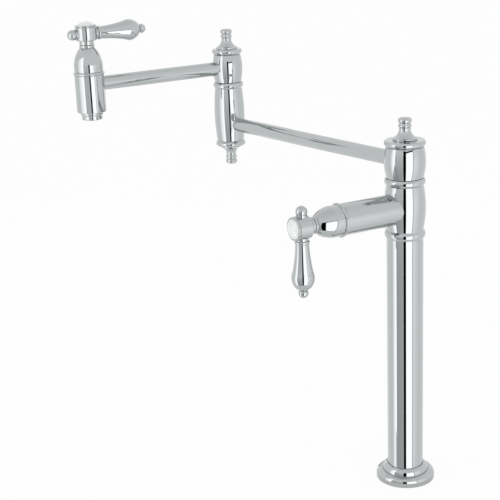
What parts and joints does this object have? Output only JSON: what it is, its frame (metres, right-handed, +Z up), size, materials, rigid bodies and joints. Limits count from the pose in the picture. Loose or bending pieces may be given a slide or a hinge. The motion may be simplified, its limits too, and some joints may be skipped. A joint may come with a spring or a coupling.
{
  "type": "deck mount pot filler",
  "caption": "Deck-mounted kitchen tap column with a side lever valve, two swivelling arms and an outlet with its own lever valve.",
  "frame": {"origin": "centre of the base flange at deck level, on the axis of the column and of the supply thread", "axes": "+Z up along the column; the side valve points along -X; the first arm leaves the column close to +Y and the second comes back close to -X"},
  "size_m": [0.2687, 0.3492, 0.4905],
  "materials": {
    "polished_chrome": "polished chrome plate on brass",
    "white_porcelain": "glazed white porcelain",
    "bare_brass": "machined brass",
    "disc_ceramic": "lapped alumina",
    "black_rubber": "moulded rubber",
    "white_acetal": "moulded acetal",
    "stainless_steel": "plain stainless steel"
  },
  "bodies": {
    "column": {"deck_gasket": "black_rubber", "base_flange": "polished_chrome", "foot_plug": "bare_brass", "column_tube": "polished_chrome", "valve_body": "polished_chrome", "side_branch": "polished_chrome", "feed_tube": "bare_brass", "main_cartridge_body": "bare_brass", "main_seat_seal": "black_rubber", "main_fixed_disc": "disc_ceramic", "main_bonnet": "polished_chrome", "column_spigot": "bare_brass", "column_orings": "black_rubber", "column_thrust_washer": "white_acetal", "column_retaining_washer": "stainless_steel", "column_retaining_screw": "stainless_steel"},
    "main_handle": {"main_moving_disc": "disc_ceramic", "main_stem": "bare_brass", "main_handle_hub": "polished_chrome", "main_handle_screw": "stainless_steel", "main_index_button": "white_porcelain", "main_handle_ball": "polished_chrome", "main_lever_collar": "polished_chrome", "main_lever": "polished_chrome", "main_lever_tip": "polished_chrome"},
    "first_arm": {"column_swivel_hub": "polished_chrome", "column_swivel_cap": "polished_chrome", "column_finial": "polished_chrome", "first_arm_tube": "polished_chrome", "elbow_barrel": "polished_chrome", "elbow_bottom_cap": "polished_chrome", "elbow_bottom_finial": "polished_chrome", "elbow_spigot": "bare_brass", "elbow_orings": "black_rubber", "elbow_thrust_washer": "white_acetal", "elbow_retaining_washer": "stainless_steel", "elbow_retaining_screw": "stainless_steel"},
    "second_arm": {"elbow_swivel_hub": "polished_chrome", "elbow_swivel_cap": "polished_chrome", "elbow_finial": "polished_chrome", "second_arm_tube": "polished_chrome", "spout_body": "polished_chrome", "outlet_housing": "polished_chrome", "flow_straightener": "white_acetal", "outlet_washer": "black_rubber", "spout_cartridge_body": "bare_brass", "spout_seat_seal": "black_rubber", "spout_fixed_disc": "disc_ceramic", "spout_bonnet": "polished_chrome"},
    "spout_handle": {"spout_moving_disc": "disc_ceramic", "spout_stem": "bare_brass", "spout_handle_hub": "polished_chrome", "spout_handle_screw": "stainless_steel", "spout_index_button": "white_porcelain", "spout_handle_ball": "polished_chrome", "spout_lever_collar": "polished_chrome", "spout_lever": "polished_chrome", "spout_lever_tip": "polished_chrome"}
  },
  "joints": [
    {"name": "column_swivel", "type": "hinge", "parent": "column", "child": "first_arm", "pos_m": [0, 0, 0.3364], "axis": [0, 0, 1], "continuous": true},
    {"name": "elbow_swivel", "type": "hinge", "parent": "first_arm", "child": "second_arm", "pos_m": [-0.03733, 0.29968, 0.4033], "axis": [0, 0, 1], "continuous": true},
    {"name": "main_handle_turn", "type": "hinge", "parent": "column", "child": "main_handle", "pos_m": [-0.0804, 0, 0.3048], "axis": [-1, 0, 0], "range_deg": [0, 90]},
    {"name": "spout_handle_turn", "type": "hinge", "parent": "second_arm", "child": "spout_handle", "pos_m": [-0.21531, 0.29751, 0.4315], "axis": [0, 0, 1], "range_deg": [0, 90]}
  ]
}
